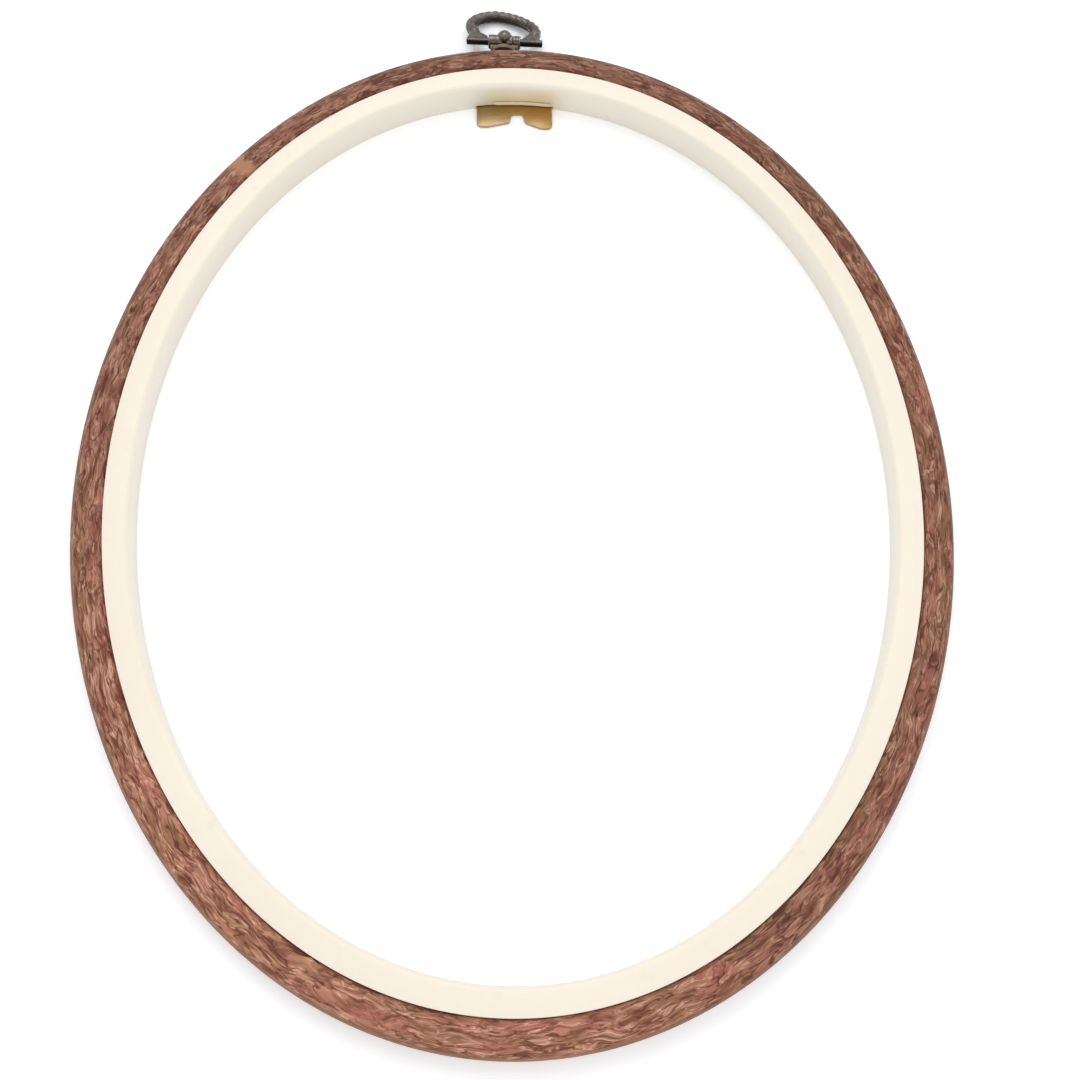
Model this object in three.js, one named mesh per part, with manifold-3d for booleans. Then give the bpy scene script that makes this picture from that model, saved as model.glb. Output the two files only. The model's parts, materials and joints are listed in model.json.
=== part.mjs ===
// A screwless oval embroidery hoop: a rigid inner ring, a flexible half-round outer ring pressed over it,
// a swinging D loop on a post at the top, and a notched plate at the back for a nail in the wall.
// Millimetres. The hoop lies on its back: +Z is its front, +Y points at the hanger, +X is to the right.

import * as THREE from 'three';
import { mergeVertices } from 'three/addons/utils/BufferGeometryUtils.js';
import Module from 'manifold-3d';

const manifold = await Module();
manifold.setup();

// The line where the two rings meet is an ellipse, and every ring wall is set off from it
const hoopHalfWidth = 95;
const hoopHalfLength = 117.5;
const ringSteps = 96;
const smallSides = 16; // of small holes
const roundSides = 24; // of other rounds

const fitGap = 0.3; // between pieces that touch or seat on each other
const floorGap = 0.05; // under the loop where it lies on the table

// Inner ring. Its inner wall leans, so that the front is wider than the back.
const innerWidth = 4.3; // at the back
const innerFrontWidth = 5.7;
const innerHeight = 9.5;
const innerFrontRound = 1.2;
const innerEdgeEase = 0.25;
const lipReach = 2.5;
const lipHeight = 1.2;

// Outer ring
const outerWidth = 7.7;
const crownAboveInner = 0.6;
const crownRise = 4;
const crownFullness = 3.4; // of the side next to the inner ring, where 2 is an ellipse
const outerFootLift = 0.3;
const outerFootEase = 0.5;

// Hanger, placed round the rim from the top and cocked a little in its hole, as it lies in the photo
const hangerTurnDeg = 1.6;
const hangerCockDeg = 4.3;
const hingeReach = 6.1; // from the outer wall to the bar's centreline
const hingeAboveShank = 0.35;
const barRadius = 0.95;
const barLength = 21.5;

// Bow of the loop
const bowRadius = 1.5; // over the high places of its rope texture
const bowHalfWidth = 9.24; // to the bow's centreline
const bowReach = 13.02; // from the bar to the bow's centreline
const bowWaist = 6.31; // height above the bar where the bow is widest
const bowSquareness = 1.8; // 2 is an ellipse, more is squarer
const bowSides = 12;
const bowSteps = 40;
const bowLeanDeg = 18.4; // the bow leans to its left, as cast
const bowShift = 1.52; // of the bow's middle along the bar

// Ends of the bow and the flat webs that join it to the bar, left then right. Heights are from the bar.
const bowEnd = [4.3, 3.4]; // height where the round part of the bow ends
const webReach = [4.75, 5.9]; // height of the web's inner edge at the bow
const webRoot = [1.4, 0.4]; // height of the web's inner edge beside the barrel
const webFoot = [10.5, 10]; // from the bar's middle to the web's outer edge
const webJoin = 4.3; // height of the web's outer edge at the bow
const webOut = 1.1; // from the bow's centreline to the web's outer edge there
const webThickness = 1.9;

// Post
const barrelLength = 9;
const barrelWall = 0.6;
const bossRadius = 2.15;
const bossLift = 0.95; // how far the dome's centre stands off the bar's centreline
const shoulderWidth = 7.6;
const shoulderThickness = 1.6;
const shoulderStandOff = 2.7;
const shankRadius = 0.8;
const rivetRadius = 1.2;
const rivetThickness = 0.5;

// Washers on the shank
const cupRadius = 3.8;
const cupHubRadius = 1.9;
const cupDepth = 1.9;
const cupWall = 0.7;
const cupRimWidth = 1.2;
const cupEdgeEase = 0.2;
const backWasherRadius = 1.5;
const backWasherThickness = 0.5;

// Nail plate, on the back of the inner ring. Its drops are measured from the ring's inner wall.
const plateHalfWidth = 10.5;
const plateThickness = 0.6;
const plateLift = 0.2; // above the table, so that the hoop rests on the ring
const plateSeat = 3.6; // how far the plate lies under the ring
const tabDrop = [7.6, 8.1]; // of the plate's left and right foot
const tabWidth = 3.2;
const tabRound = 1.3;
const mouthDrop = 6.15; // of the notch's mouth
const mouthHalfWidth = 2.2;
const notchDrop = 3.3; // of the notch's top
const notchHalfWidth = 1.5;
const notchRound = 0.6;
const notchOffset = 0.75; // the notch is off the middle in the photo

// Low moulded lip on the ring's inner wall, just over the plate
const padHalfWidth = 8.1;
const padOffset = 2.2;
const padHeight = 0.9;
const padProud = 0.55; // over the wall's back edge
const padRoot = 2; // how far it is let into the ring

// Finishes
const creamPlastic = { color: 0xfdf3e3, roughness: 0.45, metalness: 0 };
const woodGrainVinyl = { color: 0x8a5f4b, roughness: 0.5, metalness: 0 };
const agedBronze = { color: 0x70655c, roughness: 0.4, metalness: 0.9 };
const washerBronze = { color: 0x8f7a63, roughness: 0.4, metalness: 0.9 };
const washerSteel = { color: 0x8f8478, roughness: 0.4, metalness: 0.9 };
const gilt = { color: 0x9c8255, roughness: 0.35, metalness: 0.9 };

// Plate pins
const pinOffset = 7.6; // each side of the centre
const pinSeat = 1.8; // behind the inner wall
const pinRadius = 0.5;
const pinHeadRadius = 1;
const pinHeadThickness = 0.2;
const pinHeadGap = 0.15;
const pinHeadSink = 0.05; // above the plate's back face
const pinLength = 3.6;

// Heights and reaches that follow from the sizes above
const outerWall = fitGap + outerWidth;
const crownHeight = innerHeight + crownAboveInner;
const shoulderHeight = crownHeight - crownRise;
const seatHeight = lipHeight + fitGap;
const boreRadius = barRadius + fitGap;
const barrelRadius = boreRadius + barrelWall;
const shankHole = shankRadius + fitGap;
const pocketRadius = backWasherRadius + fitGap;
const shankHeight = shoulderHeight - pocketRadius;
const hingeHeight = shankHeight + hingeAboveShank;
const pocketDepth = backWasherThickness + rivetThickness + 3 * fitGap;
const plateTop = plateLift + plateThickness;
const rebateTop = plateTop + fitGap;
const loopDroop = Math.asin((hingeHeight - bowRadius - floorGap) / bowReach);
const degree = Math.PI / 180;
const bowLean = Math.tan(bowLeanDeg * degree);

// Point on the rim at a turn from +X, and the way out from the rim there
function rimPoint(turn, offset) {
  const outward = rimNormal(turn);
  return new THREE.Vector2(
    hoopHalfWidth * Math.cos(turn) + offset * outward.x,
    hoopHalfLength * Math.sin(turn) + offset * outward.y
  );
}

function rimNormal(turn) {
  return new THREE.Vector2(hoopHalfLength * Math.cos(turn), hoopHalfWidth * Math.sin(turn)).normalize();
}

// Turn from +X at which a wall set off from the rim has this x, in the top half
function turnAtX(x, offset) {
  let turn = Math.PI / 2;
  for (let pass = 0; pass < 20; pass += 1) {
    const miss = x - rimPoint(turn, offset).x;
    turn -= miss / (hoopHalfWidth + offset);
  }
  return turn;
}

// Sine or cosine of an oval that is squarer than an ellipse if its squareness is over 2
function ovalShare(value, squareness) {
  return Math.sign(value) * Math.abs(value) ** (2 / squareness);
}

// Points of an arc in a section, from one angle to another
function arc(centreX, centreY, radiusX, radiusY, from, to, steps, squareness = 2) {
  const points = [];
  for (let i = 0; i <= steps; i += 1) {
    const angle = (from + ((to - from) * i) / steps) * degree;
    const x = centreX + radiusX * ovalShare(Math.cos(angle), squareness);
    points.push([x, centreY + radiusY * ovalShare(Math.sin(angle), squareness)]);
  }
  return points;
}

// Closed ring: a section of [offset, height] points carried round the rim
function ringGeometry(section) {
  const positions = [];
  const index = [];
  const count = section.length;
  for (let i = 0; i < ringSteps; i += 1) {
    const turn = (2 * Math.PI * i) / ringSteps;
    for (const [offset, height] of section) {
      const point = rimPoint(turn, offset);
      positions.push(point.x, point.y, height);
    }
  }
  for (let i = 0; i < ringSteps; i += 1) {
    const here = i * count;
    const next = ((i + 1) % ringSteps) * count;
    for (let j = 0; j < count; j += 1) {
      const k = (j + 1) % count;
      index.push(here + j, next + j, next + k);
      index.push(here + j, next + k, here + k);
    }
  }
  const geometry = new THREE.BufferGeometry();
  geometry.setAttribute('position', new THREE.Float32BufferAttribute(positions, 3));
  geometry.setIndex(index);
  return geometry;
}

function toSolid(geometry) {
  const bare = geometry.clone();
  bare.deleteAttribute('normal');
  bare.deleteAttribute('uv');
  const merged = mergeVertices(bare, 1e-4);
  return new manifold.Manifold(new manifold.Mesh({
    numProp: 3,
    vertProperties: new Float32Array(merged.attributes.position.array),
    triVerts: new Uint32Array(merged.index.array)
  }));
}

function toGeometry(solid) {
  const mesh = solid.getMesh();
  const geometry = new THREE.BufferGeometry();
  geometry.setAttribute('position', new THREE.BufferAttribute(new Float32Array(mesh.vertProperties), 3));
  geometry.setIndex(new THREE.BufferAttribute(new Uint32Array(mesh.triVerts), 1));
  geometry.computeVertexNormals();
  return geometry;
}

// Cylinder along an axis, from one place on the axis to another
function rod(axis, radius, from, to, sides) {
  const geometry = new THREE.CylinderGeometry(radius, radius, to - from, sides);
  geometry.translate(0, (from + to) / 2, 0);
  if (axis === 'x') {
    geometry.rotateZ(-Math.PI / 2);
  }
  if (axis === 'z') {
    geometry.rotateX(Math.PI / 2);
  }
  return geometry;
}

// Flat outline in X and Y, raised from one height to another
function slab(points, bottom, top) {
  const shape = new THREE.Shape(points.map(([x, y]) => new THREE.Vector2(x, y)));
  const geometry = new THREE.ExtrudeGeometry(shape, { depth: top - bottom, bevelEnabled: false });
  geometry.translate(0, 0, bottom);
  return geometry;
}

function piece(name, geometry, finish) {
  const mesh = new THREE.Mesh(geometry, new THREE.MeshStandardMaterial(finish));
  mesh.name = name;
  return mesh;
}

// Where the hanger stands on the outer wall. Its own Y runs out of the hoop, and its own y = 0 is the wall.
function hangerFrame() {
  const turn = (90 + hangerTurnDeg) * degree;
  const place = rimPoint(turn, outerWall);
  const outward = rimNormal(turn);
  const frame = new THREE.Group();
  frame.position.set(place.x, place.y, 0);
  frame.rotation.z = Math.atan2(outward.y, outward.x) - Math.PI / 2 - hangerCockDeg * degree;
  frame.updateMatrix();
  return frame;
}

// Edge of the nail plate that lies under the ring, grown by a margin for the rebate that holds it
function plateSeatEdge(margin) {
  const offset = plateSeat - innerWidth + margin;
  const halfWidth = plateHalfWidth + margin;
  const right = turnAtX(halfWidth, offset);
  const left = Math.PI - right;
  const edge = [];
  const steps = 8;
  for (let i = 0; i <= steps; i += 1) {
    const point = rimPoint(right + ((left - right) * i) / steps, offset);
    edge.push([point.x, point.y]);
  }
  return edge;
}

// Strip between two offsets from the rim, across a stretch of X
function rimStrip(near, far, fromX, toX) {
  const strip = [];
  const steps = 6;
  for (const [offset, start, end] of [[near, toX, fromX], [far, fromX, toX]]) {
    for (let i = 0; i <= steps; i += 1) {
      const point = rimPoint(turnAtX(start + ((end - start) * i) / steps, offset), offset);
      strip.push([point.x, point.y]);
    }
  }
  return strip;
}

function pinPlace(side) {
  return rimPoint(turnAtX(side * pinOffset, pinSeat - innerWidth), pinSeat - innerWidth);
}

function innerRing() {
  const roundCentre = innerFrontWidth - innerFrontRound;
  const wallHeight = innerHeight - innerFrontRound;
  const leanDeg = Math.atan2(innerFrontWidth - innerWidth, wallHeight) / degree;
  const section = [
    [lipReach, 0],
    [lipReach, lipHeight],
    [0, lipHeight],
    [0, innerHeight - innerEdgeEase],
    [-innerEdgeEase, innerHeight],
    ...arc(-roundCentre, wallHeight, innerFrontRound, innerFrontRound, 90, 180 + leanDeg, 5),
    [-innerWidth, innerEdgeEase],
    [innerEdgeEase - innerWidth, 0]
  ];
  const wallLine = hoopHalfLength - innerWidth;
  const rebate = [
    ...plateSeatEdge(fitGap),
    [-plateHalfWidth - fitGap, wallLine - mouthDrop],
    [plateHalfWidth + fitGap, wallLine - mouthDrop]
  ];
  const padLeft = padOffset - padHalfWidth;
  const padRight = padOffset + padHalfWidth;
  const pad = rimStrip(padRoot - innerWidth, -innerWidth - padProud, padLeft, padRight);
  let solid = toSolid(ringGeometry(section));
  solid = solid.add(toSolid(slab(pad, lipHeight, rebateTop + padHeight)));
  solid = solid.subtract(toSolid(slab(rebate, -rebateTop, rebateTop)));
  for (const side of [-1, 1]) {
    const place = pinPlace(side);
    const hole = rod('z', pinRadius + fitGap, 0, pinLength + fitGap, smallSides);
    hole.translate(place.x, place.y, 0);
    solid = solid.subtract(toSolid(hole));
  }
  return piece('inner_ring', toGeometry(solid), creamPlastic);
}

function outerRing(hanger) {
  const halfRound = outerWidth / 2;
  const rabbet = lipReach + fitGap;
  const section = [
    [fitGap, seatHeight],
    [rabbet, seatHeight],
    [rabbet, outerFootLift],
    [outerWall - outerFootEase, outerFootLift],
    [outerWall, outerFootLift + outerFootEase],
    ...arc(fitGap + halfRound, shoulderHeight, halfRound, crownRise, 0, 90, 6),
    ...arc(fitGap + halfRound, shoulderHeight, halfRound, crownRise, 105, 180, 5, crownFullness)
  ];
  // Hole for the shank, and the pocket for its riveted end, both square to the hanger
  const past = outerWidth;
  const hole = rod('y', shankHole, -outerWidth - past, past, smallSides);
  const pocket = rod('y', pocketRadius, -outerWidth - past, pocketDepth - outerWidth, roundSides);
  let solid = toSolid(ringGeometry(section));
  for (const cutter of [hole, pocket]) {
    cutter.translate(0, 0, shankHeight);
    cutter.applyMatrix4(hanger.matrix);
    solid = solid.subtract(toSolid(cutter));
  }
  return piece('outer_ring', toGeometry(solid), woodGrainVinyl);
}

// Angle on the bow's oval at a height above the bar
function bowAngle(height) {
  const rise = (height - bowWaist) / (bowReach - bowWaist);
  return Math.asin(ovalShare(rise, 4 / bowSquareness));
}

// Point of the bow's centreline in the loop's own plane, Y out from the bar
function bowPoint(angle) {
  const height = bowWaist + (bowReach - bowWaist) * ovalShare(Math.sin(angle), bowSquareness);
  const across = bowHalfWidth * ovalShare(Math.cos(angle), bowSquareness);
  return [across + bowShift - height * bowLean, height];
}

class BowCurve extends THREE.Curve {
  getPoint(t, target = new THREE.Vector3()) {
    const [left, right] = bowEnd.map(bowAngle);
    const [x, y] = bowPoint(right + (Math.PI - left - right) * t);
    return target.set(x, y, 0);
  }
}

function hangerLoop() {
  const section = arc(0, 0, bowRadius, bowRadius, 0, 360 - 360 / bowSides, bowSides - 1);
  const shape = new THREE.Shape(section.map(([x, y]) => new THREE.Vector2(x, y)));
  const bow = new THREE.ExtrudeGeometry(shape, { steps: bowSteps, extrudePath: new BowCurve() });
  let solid = toSolid(rod('x', barRadius, -barLength / 2, barLength / 2, roundSides));
  solid = solid.add(toSolid(bow));
  const webInner = barrelLength / 2 + fitGap;
  for (const [i, side] of [-1, 1].entries()) {
    const [outer, inner] = [webJoin, webReach[i]].map((height) => {
      const angle = bowAngle(height);
      return bowPoint(side > 0 ? angle : Math.PI - angle);
    });
    const web = [
      [side * webInner, 0],
      [side * webFoot[i], 0],
      [outer[0] + side * webOut, outer[1]],
      inner,
      [side * webInner, webRoot[i]]
    ];
    const outline = side > 0 ? web : web.reverse();
    solid = solid.add(toSolid(slab(outline, -webThickness / 2, webThickness / 2)));
  }
  return piece('hanger_loop', toGeometry(solid), agedBronze);
}

function hangerPost() {
  const barrelEnd = barrelLength / 2;
  const barrel = rod('x', barrelRadius, -barrelEnd, barrelEnd, roundSides);
  barrel.translate(0, hingeReach, hingeHeight);
  const boss = new THREE.SphereGeometry(bossRadius, roundSides, roundSides / 2);
  const bossStep = bossLift * Math.SQRT1_2; // it stands up and out alike
  boss.translate(0, hingeReach + bossStep, hingeHeight + bossStep);
  const shoulderTop = hingeReach - boreRadius;
  const taper = (barrelLength - shoulderWidth) / 2;
  const shoulder = slab([
    [-shoulderWidth / 2, shoulderStandOff],
    [shoulderWidth / 2, shoulderStandOff],
    [shoulderWidth / 2, shoulderTop - taper],
    [barrelEnd, shoulderTop],
    [barrelEnd, hingeReach],
    [-barrelEnd, hingeReach],
    [-barrelEnd, shoulderTop],
    [-shoulderWidth / 2, shoulderTop - taper]
  ], -shoulderThickness / 2, shoulderThickness / 2);
  shoulder.translate(0, 0, (shankHeight + hingeHeight) / 2);
  const washerFace = pocketDepth - outerWidth - fitGap - backWasherThickness;
  const rivetTop = washerFace - fitGap;
  const shankBottom = rivetTop - rivetThickness / 2;
  const shank = rod('y', shankRadius, shankBottom, shoulderStandOff + shankRadius, smallSides);
  const rivet = rod('y', rivetRadius, rivetTop - rivetThickness, rivetTop, roundSides);
  shank.translate(0, 0, shankHeight);
  rivet.translate(0, 0, shankHeight);
  const bore = rod('x', boreRadius, -barrelLength, barrelLength, roundSides);
  bore.translate(0, hingeReach, hingeHeight);
  let solid = toSolid(barrel);
  for (const geometry of [boss, shoulder, shank, rivet]) {
    solid = solid.add(toSolid(geometry));
  }
  return piece('hanger_post', toGeometry(solid.subtract(toSolid(bore))), agedBronze);
}

// A washer turned about the shank, from a closed [radius, height above the wall] section
function turnedWasher(name, section, finish) {
  const profile = [...section, section[0]].map(([radius, height]) => new THREE.Vector2(radius, height));
  const washer = toSolid(new THREE.LatheGeometry(profile, roundSides));
  const mesh = piece(name, toGeometry(washer), finish);
  mesh.position.z = shankHeight;
  return mesh;
}

function cupWasher() {
  const lip = fitGap + cupDepth;
  return turnedWasher('cup_washer', [
    [shankHole, fitGap],
    [cupHubRadius, fitGap],
    [cupRadius - cupEdgeEase, lip - cupRimWidth],
    [cupRadius, lip - cupRimWidth + cupEdgeEase],
    [cupRadius, lip - cupEdgeEase],
    [cupRadius - cupEdgeEase, lip],
    [cupRadius - cupWall, lip],
    [cupRadius - cupWall, lip - cupRimWidth + cupWall],
    [cupHubRadius, fitGap + cupWall],
    [shankHole, fitGap + cupWall]
  ], washerBronze);
}

function backWasher() {
  const top = pocketDepth - outerWidth - fitGap;
  const bottom = top - backWasherThickness;
  return turnedWasher('back_washer', [
    [shankHole, bottom],
    [backWasherRadius, bottom],
    [backWasherRadius, top],
    [shankHole, top]
  ], washerSteel);
}

function nailPlate() {
  const wallLine = hoopHalfLength - innerWidth;
  const [leftFoot, rightFoot] = tabDrop.map((drop) => wallLine - drop);
  const mouth = wallLine - mouthDrop;
  const notch = wallLine - notchDrop;
  const side = plateHalfWidth - tabRound;
  const notchSide = notchHalfWidth - notchRound;
  const outline = [
    ...plateSeatEdge(0),
    ...arc(-side, leftFoot + tabRound, tabRound, tabRound, 180, 270, 4),
    [tabWidth - plateHalfWidth, leftFoot],
    [notchOffset - mouthHalfWidth, mouth],
    ...arc(notchOffset - notchSide, notch - notchRound, notchRound, notchRound, 180, 90, 3),
    ...arc(notchOffset + notchSide, notch - notchRound, notchRound, notchRound, 90, 0, 3),
    [notchOffset + mouthHalfWidth, mouth],
    [plateHalfWidth - tabWidth, rightFoot],
    ...arc(side, rightFoot + tabRound, tabRound, tabRound, 270, 360, 4)
  ];
  let solid = toSolid(slab(outline, plateLift, plateTop));

  // Pin holes, sunk for the heads
  for (const end of [-1, 1]) {
    const place = pinPlace(end);
    const sink = plateLift + pinHeadSink + pinHeadThickness + pinHeadGap;
    for (const cutter of [
      rod('z', pinRadius + fitGap, -plateTop, 2 * plateTop, smallSides),
      rod('z', pinHeadRadius + fitGap, -plateTop, sink, roundSides)
    ]) {
      cutter.translate(place.x, place.y, 0);
      solid = solid.subtract(toSolid(cutter));
    }
  }
  return piece('nail_plate', toGeometry(solid), gilt);
}

function platePin(name, side) {
  const headBottom = plateLift + pinHeadSink;
  const headTop = headBottom + pinHeadThickness;
  const profile = [
    [0, headBottom],
    [pinHeadRadius, headBottom],
    [pinHeadRadius, headTop],
    [pinRadius, headTop],
    [pinRadius, pinLength],
    [0, pinLength]
  ].map(([radius, height]) => new THREE.Vector2(radius, height));
  const geometry = new THREE.LatheGeometry(profile, roundSides);
  geometry.rotateX(Math.PI / 2);
  const mesh = piece(name, toGeometry(toSolid(geometry)), gilt);
  const place = pinPlace(side);
  mesh.position.set(place.x, place.y, 0);
  return mesh;
}

// The hanger's fixed pieces stand in its frame, and the loop turns about the bar inside it
const hanger = hangerFrame();
const swing = new THREE.Group();
swing.position.set(0, hingeReach, hingeHeight);
swing.rotation.x = -loopDroop;
swing.add(hangerLoop());
hanger.add(hangerPost(), cupWasher(), backWasher(), swing);

const hoop = new THREE.Group();
hoop.add(innerRing(), outerRing(hanger), hanger);
hoop.add(nailPlate(), platePin('plate_pin_left', -1), platePin('plate_pin_right', 1));

// The origin is on the table, at the middle of the space that the hoop and its loop take
const assembly = new THREE.Group();
assembly.add(hoop);
hoop.updateMatrixWorld(true);
const space = new THREE.Box3().setFromObject(hoop, true);
hoop.position.y = -(space.min.y + space.max.y) / 2;

export default assembly;
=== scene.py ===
# An oval embroidery hoop lying on a white table: cream inner ring, wood-grain outer ring, bronze hanger.
# Metres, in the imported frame: +Z is the hoop's front, +Y points at the hanger.
import json
import math

import bpy
import numpy as np
from mathutils import Matrix, Vector


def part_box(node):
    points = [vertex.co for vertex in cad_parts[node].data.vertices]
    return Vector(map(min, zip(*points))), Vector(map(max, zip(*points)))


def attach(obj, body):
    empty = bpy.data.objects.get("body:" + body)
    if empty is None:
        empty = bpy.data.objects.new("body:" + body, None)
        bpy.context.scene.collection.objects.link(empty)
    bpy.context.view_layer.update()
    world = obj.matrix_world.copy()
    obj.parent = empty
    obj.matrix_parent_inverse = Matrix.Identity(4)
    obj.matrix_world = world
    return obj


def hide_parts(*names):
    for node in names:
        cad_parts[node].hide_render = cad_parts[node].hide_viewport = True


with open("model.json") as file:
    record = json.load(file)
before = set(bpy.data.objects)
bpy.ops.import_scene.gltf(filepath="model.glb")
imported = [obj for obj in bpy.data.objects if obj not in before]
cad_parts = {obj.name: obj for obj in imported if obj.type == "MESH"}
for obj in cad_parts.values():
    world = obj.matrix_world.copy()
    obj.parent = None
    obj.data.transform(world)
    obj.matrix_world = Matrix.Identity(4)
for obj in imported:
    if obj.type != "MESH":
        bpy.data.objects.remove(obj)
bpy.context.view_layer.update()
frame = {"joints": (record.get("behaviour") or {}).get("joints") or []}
mm = 0.001
print("frame loaded")

# The fit and the rim follow the frame
fitGap = 0.3 * mm
creamRing = {
    "width": 4.3 * mm,  # at the back
    "frontWidth": 5.7 * mm,
    "frontRound": 1.2 * mm,
    "edgeRound": 0.12 * mm,
    "lipReach": 2.5 * mm,
    "lipHeight": 1.2 * mm,
    "steps": 480,
}
woodRing = {
    "width": 7.7 * mm,
    "seam": 0.15 * mm,  # beside the inner ring
    "crownRise": 4 * mm,
    "footRound": 0.5 * mm,
    "rabbetRound": 0.12 * mm,
    "crownSteps": 36,
    "innerFullness": 4.4,  # 2 would be a plain ellipse on the side next to the cloth
    "steps": 480,
    "seamTurn": math.radians(134.5),  # where the two ends of the strip meet, upper left
}
creamLow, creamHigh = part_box("inner_ring")
woodLow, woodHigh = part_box("outer_ring")
rimCentre = (creamLow + creamHigh) / 2
rimHalfWidth = (creamHigh.x - creamLow.x) / 2 - creamRing["lipReach"]
rimHalfLength = (creamHigh.y - creamLow.y) / 2 - creamRing["lipReach"]
creamHeight = creamHigh.z
woodOuter = fitGap + woodRing["width"]

# The hanger's own frame has its origin at the hinge, X along the bar and Y out of the hoop
swingJoint = next(joint for joint in frame["joints"] if joint["name"] == "loop_swing")
hingePoint = Vector(swingJoint["pos_m"])
barAxis = Vector(swingJoint["axis"]).normalized()
outAxis = Vector((0, 0, 1)).cross(barAxis)
hangerFrame = Matrix.Translation(hingePoint) @ Matrix((barAxis, outAxis, (0, 0, 1))).transposed().to_4x4()


def screenColour(red, green, blue):
    # A colour as a picture editor shows it, made linear for the shaders
    parts = [value / 255 for value in (red, green, blue)]
    linear = [part / 12.92 if part <= 0.04045 else ((part + 0.055) / 1.055) ** 2.4 for part in parts]
    return (*linear, 1.0)


# Outlines and meshes

def smoothRise(value, low, high):
    # 0 up to one place and 1 from the other, level at both
    share = np.clip((value - low) / (high - low), 0, 1)
    return share * share * (3 - 2 * share)


def signedPower(value, power):
    return np.sign(value) * np.abs(value) ** power


def softOutline(corners, steps=4):
    # Closed outline from (x, y, radius) corners, each rounded by its radius
    points = []
    for index, (x, y, radius) in enumerate(corners):
        corner = np.array([x, y])
        before = np.array(corners[index - 1][:2]) - corner
        after = np.array(corners[(index + 1) % len(corners)][:2]) - corner
        before /= np.linalg.norm(before)
        after /= np.linalg.norm(after)
        half = math.acos(np.clip(before @ after, -1, 1)) / 2
        if radius == 0 or half > math.radians(89):
            points.append(corner)
            continue
        middle = before + after
        centre = corner + middle / np.linalg.norm(middle) * radius / math.sin(half)
        start = corner + before * radius / math.tan(half) - centre
        end = corner + after * radius / math.tan(half) - centre
        sweep = math.atan2(start[0] * end[1] - start[1] * end[0], start @ end)
        for step in range(steps + 1):
            turn = sweep * step / steps
            cosine, sine = math.cos(turn), math.sin(turn)
            turned = (cosine * start[0] - sine * start[1], sine * start[0] + cosine * start[1])
            points.append(centre + np.array(turned))
    return np.array(points)


def makeObject(name, points, faces):
    mesh = bpy.data.meshes.new(name)
    mesh.from_pydata(np.asarray(points).tolist(), [], [list(map(int, face)) for face in faces])
    mesh.update()
    piece = bpy.data.objects.new(name, mesh)
    bpy.context.scene.collection.objects.link(piece)
    return piece


def closedFaces(steps, count):
    # Quads between sections of count points, with the last section joined to the first
    here = np.arange(steps)[:, None] * count
    after = ((np.arange(steps)[:, None] + 1) % steps) * count
    low = np.arange(count)[None, :]
    high = (low + 1) % count
    return np.stack([here + low, after + low, after + high, here + high], -1).reshape(-1, 4)


def rimAt(turns, offsets):
    # Points set off from the rim, and the ways out from it
    outward = np.stack([rimHalfLength * np.cos(turns), rimHalfWidth * np.sin(turns)], -1)
    outward /= np.linalg.norm(outward, axis=-1, keepdims=True)
    rim = np.stack([rimHalfWidth * np.cos(turns), rimHalfLength * np.sin(turns)], -1)
    return rim + outward * np.asarray(offsets)[..., None] + np.array([rimCentre.x, rimCentre.y])


def ringObject(name, outline, steps, startTurn=0.0, swell=None):
    # Carries a section round the rim. Its "grain" map runs along the ring and across the section, in metres.
    turns = startTurn + np.arange(steps + 1) * 2 * math.pi / steps
    count = len(outline)
    offsets = np.broadcast_to(outline[:, 0], (steps, count)).copy()
    heights = np.broadcast_to(outline[:, 1], (steps, count)).copy()
    grid = np.broadcast_to(turns[:steps, None], (steps, count))
    if swell is not None:
        offsets += swell(rimAt(grid, offsets), offsets, heights)
    points = np.dstack([rimAt(grid, offsets), heights])
    piece = makeObject(name, points.reshape(-1, 3), closedFaces(steps, count))

    middle = rimAt(turns, np.full(steps + 1, outline[:, 0].mean()))
    along = np.concatenate([[0], np.cumsum(np.linalg.norm(np.diff(middle, axis=0), axis=1))])
    closed = np.vstack([outline, outline[:1]])
    across = np.concatenate([[0], np.cumsum(np.linalg.norm(np.diff(closed, axis=0), axis=1))])
    column, row = np.meshgrid(np.arange(steps), np.arange(count), indexing="ij")
    corners = [(column, row), (column + 1, row), (column + 1, row + 1), (column, row + 1)]
    grain = np.stack([np.stack([along[c], across[r]], -1) for c, r in corners], 2)
    piece.data.uv_layers.new(name="grain").data.foreach_set("uv", grain.reshape(-1).astype(np.float32))
    return piece


def turnedObject(name, outline, sides):
    # Turns a closed (radius, along) outline about the hanger's Y
    turns = np.arange(sides) * 2 * math.pi / sides
    count = len(outline)
    radius = outline[:, 0][None, :]
    along = np.broadcast_to(outline[:, 1], (sides, count))
    points = np.dstack([radius * np.cos(turns)[:, None], along, radius * np.sin(turns)[:, None]])
    outward = [0, 3, 2, 1]
    return makeObject(name, points.reshape(-1, 3), closedFaces(sides, count)[:, outward])


def tubeObject(name, centres, acrossAxes, upAxes, radii):
    # A closed tube: radii holds one row of radius values for each centre
    steps, sides = radii.shape
    turns = np.arange(sides) * 2 * math.pi / sides
    sideways = acrossAxes[:, None, :] * np.cos(turns)[None, :, None]
    upward = upAxes[:, None, :] * np.sin(turns)[None, :, None]
    points = centres[:, None, :] + (sideways + upward) * radii[:, :, None]
    faces = []
    for low in range(0, (steps - 1) * sides, sides):
        high = low + sides
        for side in range(sides):
            after = (side + 1) % sides
            faces.append([low + side, low + after, high + after, high + side])
    faces.append(list(range(sides))[::-1])
    faces.append(list(range((steps - 1) * sides, steps * sides)))
    return makeObject(name, points.reshape(-1, 3), faces)


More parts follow.
